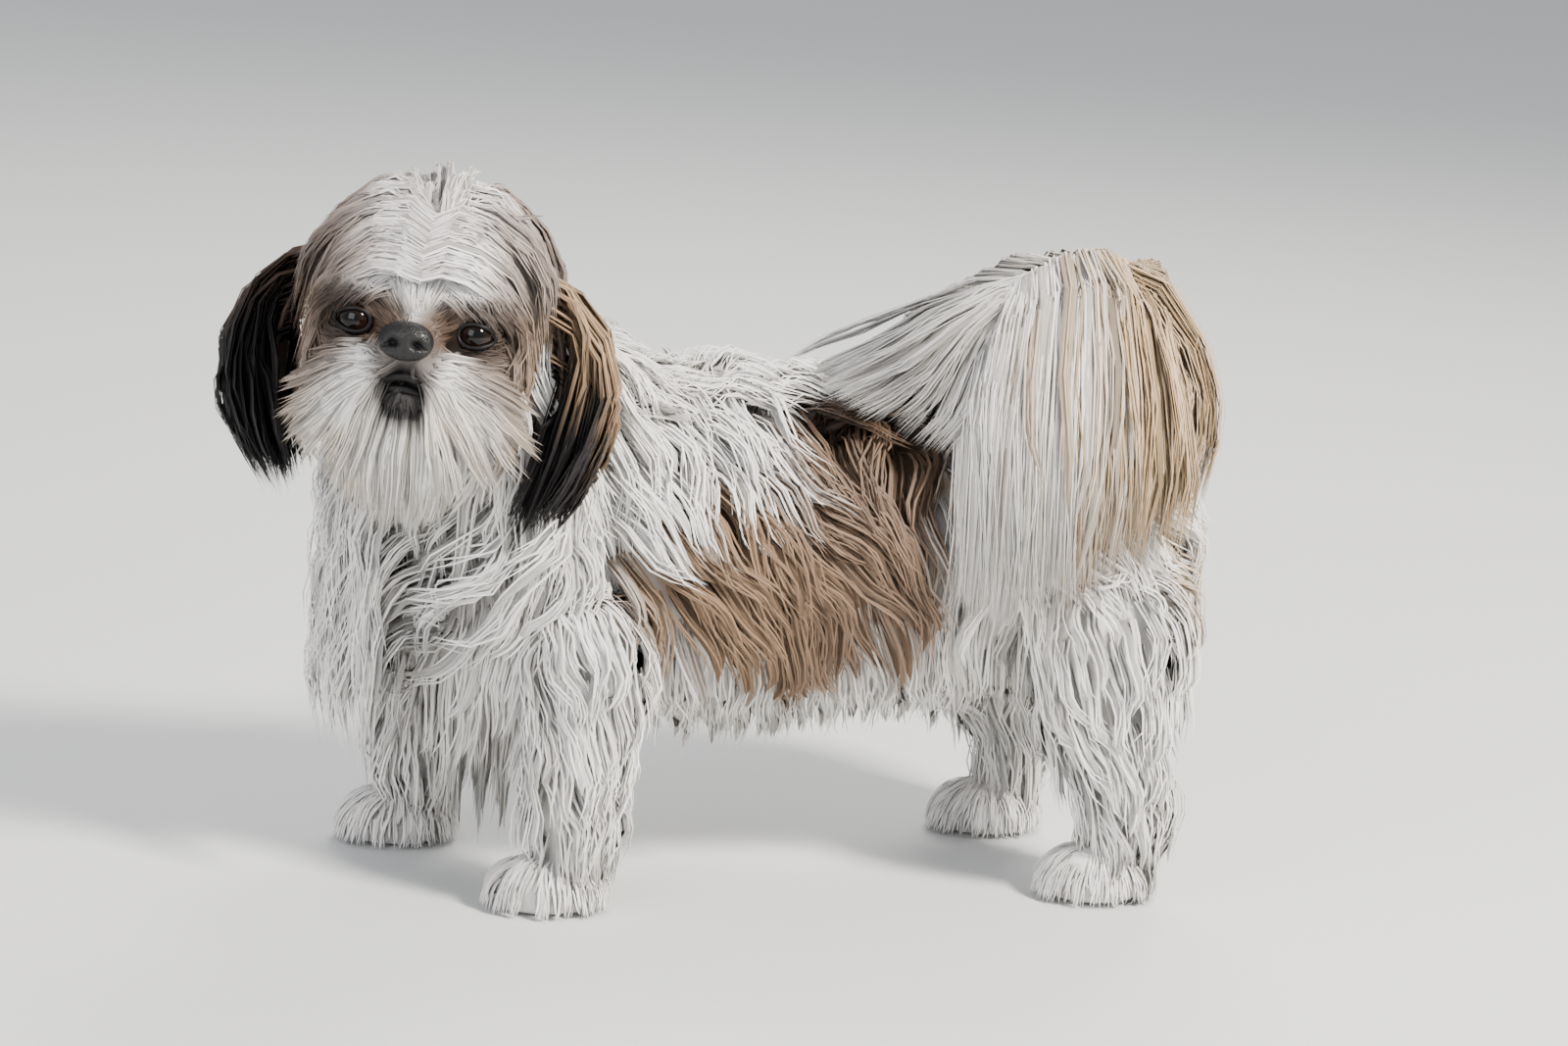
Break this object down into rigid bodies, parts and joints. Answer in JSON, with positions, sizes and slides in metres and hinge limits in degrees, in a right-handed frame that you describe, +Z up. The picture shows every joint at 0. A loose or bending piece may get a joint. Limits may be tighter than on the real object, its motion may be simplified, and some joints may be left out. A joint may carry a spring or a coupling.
{
  "type": "shih tzu dog",
  "caption": "Life-size standing shih tzu, head turned to its left, long wavy coat and a plumed tail over its back, as a still display model.",
  "frame": {"origin": "on the floor, under the middle of the whole dog's box", "axes": "+Z up, -Y the way the dog's body faces, +X its left side"},
  "size_m": [0.2082, 0.532, 0.3647],
  "materials": {
    "white_coat": "long white coat, dull with a soft sheen",
    "mixed_coat": "white and golden brown wavy coat",
    "gold_coat": "cream and gold plume hair",
    "dark_coat": "brown to black ear hair",
    "nose_leather": "fine grained black nose leather",
    "eye": "dark brown wet eye"
  },
  "bodies": {
    "root": {"head": "white_coat", "jaw": "white_coat", "nose": "nose_leather", "eye_left": "eye", "eye_right": "eye", "ear_left": "dark_coat", "ear_right": "dark_coat", "neck": "white_coat", "torso": "mixed_coat", "tail": "gold_coat", "foreleg_left": "white_coat", "forepaw_left": "white_coat", "foreleg_right": "white_coat", "forepaw_right": "white_coat", "hindleg_left": "white_coat", "hindpaw_left": "white_coat", "hindleg_right": "white_coat", "hindpaw_right": "white_coat"}
  },
  "joints": []
}
